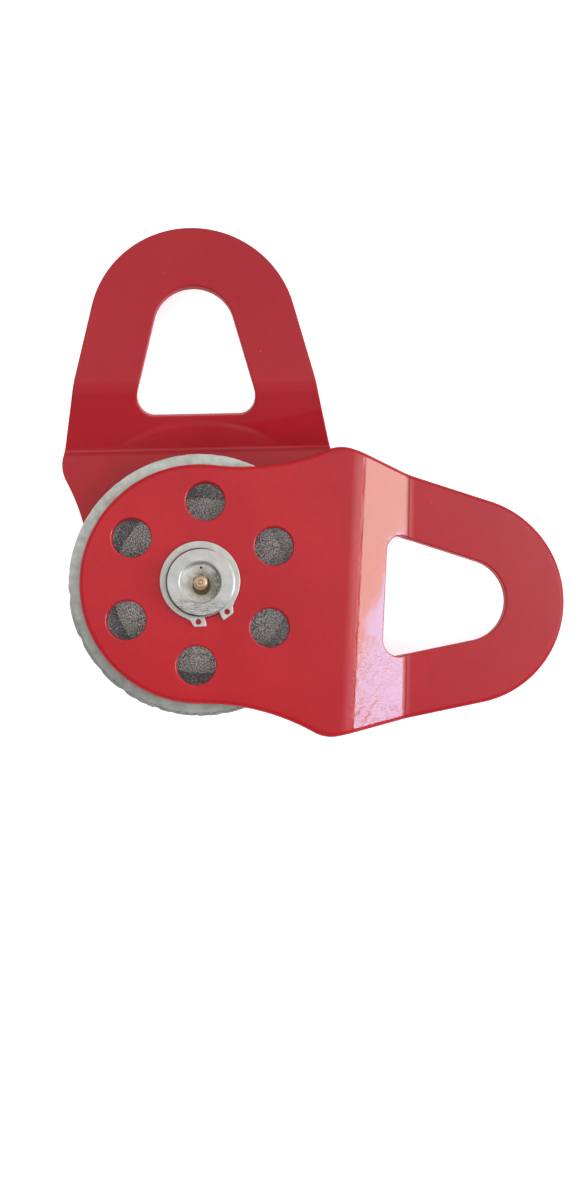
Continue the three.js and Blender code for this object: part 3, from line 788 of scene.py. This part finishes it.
# The bush has a grease groove round the middle of its bore.
bush_end = SHEAVE_HALF - 0.1
bush_section = [
    (BORE_R, -bush_end, 0.4),
    (BORE_R, -2.0, 0),
    (16.0, -1.4, 0),
    (16.0, 1.4, 0),
    (BORE_R, 2.0, 0),
    (BORE_R, bush_end, 0.4),
    (BUSH_R, bush_end, 0.3),
    (BUSH_R, -bush_end, 0.3),
]
bush = moved(lathe(fillet(bush_section, closed=True), 128, closed=True), MID_Z)
finished("sheave_bush_turned", bush, "sheave_bush", "sheave", bronze)

washer_r, washer_half = 24.2, WASHER_T / 2
washer = [
    (BORE_R, -washer_half, 0.15),
    (BORE_R, washer_half, 0.15),
    (washer_r, washer_half, 0.25),
    (washer_r, -washer_half, 0.25),
]
for side, way in (("front", 1), ("rear", -1)):
    washer_z = MID_Z + way * (SHEAVE_HALF + SIDE_ROOM / 2)
    finished(
        side + "_thrust_washer_ground",
        moved(lathe(fillet(washer, closed=True), 128, closed=True), washer_z),
        side + "_thrust_washer",
        side + "_washer",
        washer_steel,
    )


# ---------------------------------------------------------------- pin, circlip, nipple
def pin_section():
    """From the head's middle up the outside, then down the recess to the end of the grease hole."""
    groove, width = 14.3, CLIP_T + 0.08
    clip = CLIP_Z - 0.03
    chamfer = 0.75
    thread_r, grease_r = 3.06, 1.75
    seat = PIN_TOP - SEAT_DEPTH
    return fillet(
        [
            (0, 0, 0),
            (HEAD_R, 0, 0.7),
            (HEAD_R, HEAD_H, 0.7),
            (PIN_R, HEAD_H, 0.2),
            (PIN_R, clip, 0.1),
            (groove, clip, 0.1),
            (groove, clip + width, 0.1),
            (PIN_R, clip + width, 0.1),
            (PIN_R, PIN_TOP - chamfer, 0.1),
            (PIN_R - chamfer, PIN_TOP, 0.1),
            (RECESS_R + 0.5, PIN_TOP, 0.1),
            (RECESS_R, PIN_TOP - 0.5, 0.1),
            (RECESS_R, PIN_TOP - RECESS_DEPTH, 0.9),
            (4.4, seat, 0.4),
            (thread_r, seat, 0),
            (thread_r, seat - 7.0, 0),
            (grease_r, seat - 7.8, 0),
            (grease_r, MID_Z - 2, 0),
            (0, MID_Z - 3, 0),
        ]
    )


finished("axle_pin_turned", lathe(pin_section(), 160), "axle_pin", "pin", pin_steel)

lug_hole = circle(17.1, 0, 1.25, 32)
clip_holes = [rotated(lug_hole, CLIP_SPREAD), rotated(lug_hole, -CLIP_SPREAD)]
clip = sheet(circlip_outline(), clip_holes, CLIP_T, (0.22, 0.15, 0.1))
bmesh.ops.transform(clip, matrix=Matrix.Rotation(CLIP_TURN, 4, "Z"), verts=clip.verts)
moved(clip, CLIP_Z + CLIP_T / 2)
finished("circlip_sprung", clip, "circlip", "pin", clip_steel)


def nipple_section():
    """(r, z, corner radius) from the shank's foot up the outside, then down the bore."""
    return [
        (1.0, -5.5, 0.1),
        (2.6, -5.5, 0.2),
        (3.0, -5.0, 0.2),
        (3.0, 0.0, 0.0),
        (3.9, 0.05, 0.0),
        (4.04, 0.35, 0.0),
        (4.04, 2.95, 0.0),
        (3.7, 3.25, 0.1),
        (2.5, 3.3, 0.3),
        (2.4, 4.2, 0.3),
        (3.25, 5.3, 0.3),
        (3.25, 6.1, 0.3),
        (2.8, 8.2, 0.4),
        (2.1, 8.8, 0.3),
        (1.1, 8.8, 0.15),
        (0.8, 8.1, 0.1),
        (1.6, 7.3, 0.1),
        (1.6, -4.6, 0.1),
        (1.0, -4.6, 0.1),
    ]


def hexagonal(r, z, a):
    """Between the hexagon's two faces the outside follows its flats."""
    flat_r, top = 3.5, 3.28
    if 0.0 < z < top and r > flat_r - 0.1:
        to_flat = (a + math.pi / 6) % (math.pi / 3) - math.pi / 6
        return min(r, flat_r / math.cos(to_flat)), z
    return r, z


finished(
    "grease_nipple_turned",
    moved(lathe(fillet(nipple_section(), closed=True), 120, closed=True, shape=hexagonal), NIPPLE_Z),
    "grease_nipple_body",
    "pin",
    nipple_brass,
)

ball = lathe(arc(0, BALL_Z, BALL_R, -math.pi / 2, math.pi / 2, 24), 48)
finished("grease_nipple_check_ball", ball, "grease_nipple_ball", "nipple_ball", ball_steel)


def coil(radius, wire, z0, z1, turns, steps, sides):
    """A wire wound into a helix, with closed ends. z0 and z1 are the heights of the wire's centre."""
    bm = bmesh.new()
    rings = []
    for i in range(steps + 1):
        t = i / steps
        a = 2 * math.pi * turns * t
        # The end turns lie flat, so the pitch eases in and out.
        z = z0 + (z1 - z0) * min(1, max(0, (t * turns - 0.7) / (turns - 1.4)))
        out = Vector((math.cos(a), math.sin(a), 0))
        centre = out * radius + Vector((0, 0, z))
        ring = []
        for k in range(sides):
            b = 2 * math.pi * k / sides
            up = Vector((0, 0, wire * math.sin(b)))
            ring.append(bm.verts.new(centre + out * wire * math.cos(b) + up))
        rings.append(ring)
    for low, high in zip(rings, rings[1:]):
        for k in range(sides):
            bm.faces.new((low[k], low[(k + 1) % sides], high[(k + 1) % sides], high[k]))
    bm.faces.new(list(reversed(rings[0])))
    bm.faces.new(rings[-1])
    return bm


spring = finished(
    "grease_nipple_wire_spring",
    coil(radius=1.1, wire=WIRE_R, z0=36.08, z1=46.56, turns=7, steps=220, sides=10),
    "grease_nipple_spring",
    "pin",
    spring_wire,
    weighted=False,
)
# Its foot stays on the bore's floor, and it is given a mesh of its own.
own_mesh(spring)


# ---------------------------------------------------------------- floor, light and camera
def floor():
    """White paper that glows a little, so that it stays white round the block."""
    n = Nodes("floor_paper")
    tone = n.noise(60, 3, 0.5)
    n.set(Base_Color=n.ramp(tone, (0.3, (0.93, 0.93, 0.93)), (0.7, (0.95, 0.95, 0.95))), Roughness=0.9)
    n.set(Specular_IOR_Level=0.1, Normal=n.bump(n.noise(1.5, 2), 0.05, 0.05))
    n.set(Emission_Color=(1.0, 1.0, 1.0), Emission_Strength=0.45)
    bm = bmesh.new()
    bmesh.ops.create_grid(bm, x_segments=4, y_segments=4, size=3.0)
    mesh = bpy.data.meshes.new("floor")
    bm.to_mesh(mesh)
    bm.free()
    mesh.materials.append(n.owner)
    obj = bpy.data.objects.new("floor", mesh)
    obj.location.z = -0.0002  # just clear of the pin's head
    bpy.context.scene.collection.objects.link(obj)


def area_light(name, at, towards, size, power):
    data = bpy.data.lights.new(name, "AREA")
    data.shape = "RECTANGLE"
    data.size, data.size_y = size
    data.energy = power
    obj = bpy.data.objects.new(name, data)
    obj.location = at
    obj.rotation_euler = (Vector(towards) - Vector(at)).to_track_quat("-Z", "Y").to_euler()
    obj.visible_glossy = False  # glossy paint shows the room and its window only
    bpy.context.scene.collection.objects.link(obj)


def world():
    """A plain room, dim overhead and on the viewer's side, and brighter towards +X.

    A window stands there, with a warm and a cool part."""
    n = Nodes("room", world=True)
    x, y, z = n.part(0), n.part(1), n.part(2)
    half_x = n.maths("MULTIPLY_ADD", x, 0.5, 0.5)
    half_y = n.maths("MULTIPLY_ADD", y, 0.5, 0.5)
    height = n.ramp(
        z, (0.0, 0.3), (0.25, 0.5), (0.55, 0.8), (0.82, 0.9), (0.91, 0.62), (0.97, 0.44), (1.0, 0.38)
    )
    towards = n.ramp(
        half_x, (0.0, 0.3), (0.5, 0.38), (0.58, 0.52), (0.66, 0.68), (0.8, 0.8), (0.97, 0.9)
    )
    viewer = n.ramp(
        half_y,
        (0.02, 0.05), (0.15, 0.12), (0.30, 0.3), (0.46, 0.62), (0.54, 0.95), (0.6, 1.0), (0.69, 0.62),
    )
    room = n.product(height, towards, viewer, 3.6)
    # Places on the window's wall, as tangents of the angles from +X.
    ahead = n.maths("MAXIMUM", x, 0.05)
    across, up = n.maths("DIVIDE", y, ahead), n.maths("DIVIDE", z, ahead)
    tall, wide = n.band(up, (0.22, 0.26), (0.45, 0.92)), n.band(across, (-0.24, -0.18), (0.29, 0.36))
    slant = n.maths("MULTIPLY_ADD", up, 1.2, across)
    cool = n.inverse(n.step(slant, 0.560, 0.588))
    window = n.mix(cool, (7.4, 7.6, 6.3), (7.8, 12.0, 16.5))
    n.link(n.mix(n.product(tall, wide), room, window), n.shader.inputs["Color"])
    bpy.context.scene.world = n.owner


floor()
world()
area_light("room_soft", (-0.1, -0.38, 0.9), (0, 0, 0), (1.0, 1.0), 6.0)

# The view is almost straight down the pin. It leans 5 degrees, and is turned so the front plate dips.
roll = Matrix.Rotation(math.radians(2.9), 4, "Z")
lean = Matrix.Rotation(math.radians(-3.089), 4, "X") @ Matrix.Rotation(math.radians(3.884), 4, "Y")
camera_at = Vector((0.01225, -0.02922, 0.44893))
camera_data = bpy.data.cameras.new("camera")
camera_data.sensor_fit = "VERTICAL"
camera_data.sensor_height = 36.0
camera_data.lens = 27.72
camera_data.clip_start = 0.01
camera = bpy.data.objects.new("camera", camera_data)
bpy.context.scene.collection.objects.link(camera)
camera.matrix_world = Matrix.Translation(roll @ camera_at) @ roll @ lean.transposed()
bpy.context.scene.camera = camera
bpy.context.scene.view_settings.view_transform = "Standard"
